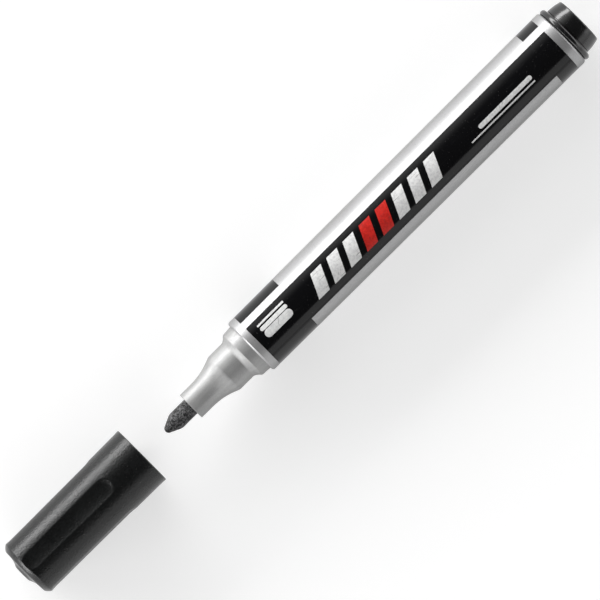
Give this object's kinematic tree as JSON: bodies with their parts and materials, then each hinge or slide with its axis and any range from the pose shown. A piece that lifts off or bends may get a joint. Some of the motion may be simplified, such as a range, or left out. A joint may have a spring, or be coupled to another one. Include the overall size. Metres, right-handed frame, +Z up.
{
  "type": "alcohol marker",
  "caption": "Bullet-nib alcohol marker lying uncapped: lacquered barrel with a printed panel, stepped nib holder, felt nib, fibre reservoir, end plug and a fluted slide-off cap with a seal sleeve.",
  "frame": {"origin": "on the surface that the marker lies on, below its axis and half way between the cap's closed end and the end plug's face", "axes": "+X along the marker's axis from the cap and nib towards the end plug, +Z up, +Y across"},
  "size_m": [0.1766, 0.0154, 0.0154],
  "materials": {
    "silver_lacquer": "smooth plastic tube under a silver metallic lacquer",
    "silver_plastic": "moulded silver-pigmented plastic, semi-gloss",
    "black_gloss_plastic": "moulded black plastic, gloss",
    "black_satin_plastic": "moulded black plastic, satin",
    "natural_plastic": "undyed soft plastic, satin",
    "inked_felt": "pressed felt rod soaked in black ink",
    "inked_fibre": "bundled fibre soaked in black ink",
    "clear_film": "thin clear plastic film",
    "black_ink": "printed black ink film, semi-gloss",
    "white_ink": "printed white ink film, semi-gloss",
    "red_ink": "printed red ink film, semi-gloss"
  },
  "bodies": {
    "marker": {"barrel": "silver_lacquer", "nib_holder": "silver_plastic", "nib": "inked_felt", "reservoir_fibre": "inked_fibre", "reservoir_film": "clear_film", "end_plug": "black_gloss_plastic"},
    "cap": {"cap_shell": "black_satin_plastic", "cap_seal_sleeve": "natural_plastic"}
  },
  "joints": [
    {"name": "cap_slide", "type": "slide", "parent": "marker", "child": "cap", "axis": [1, 0, 0], "range_m": [0, 0.0342]}
  ]
}
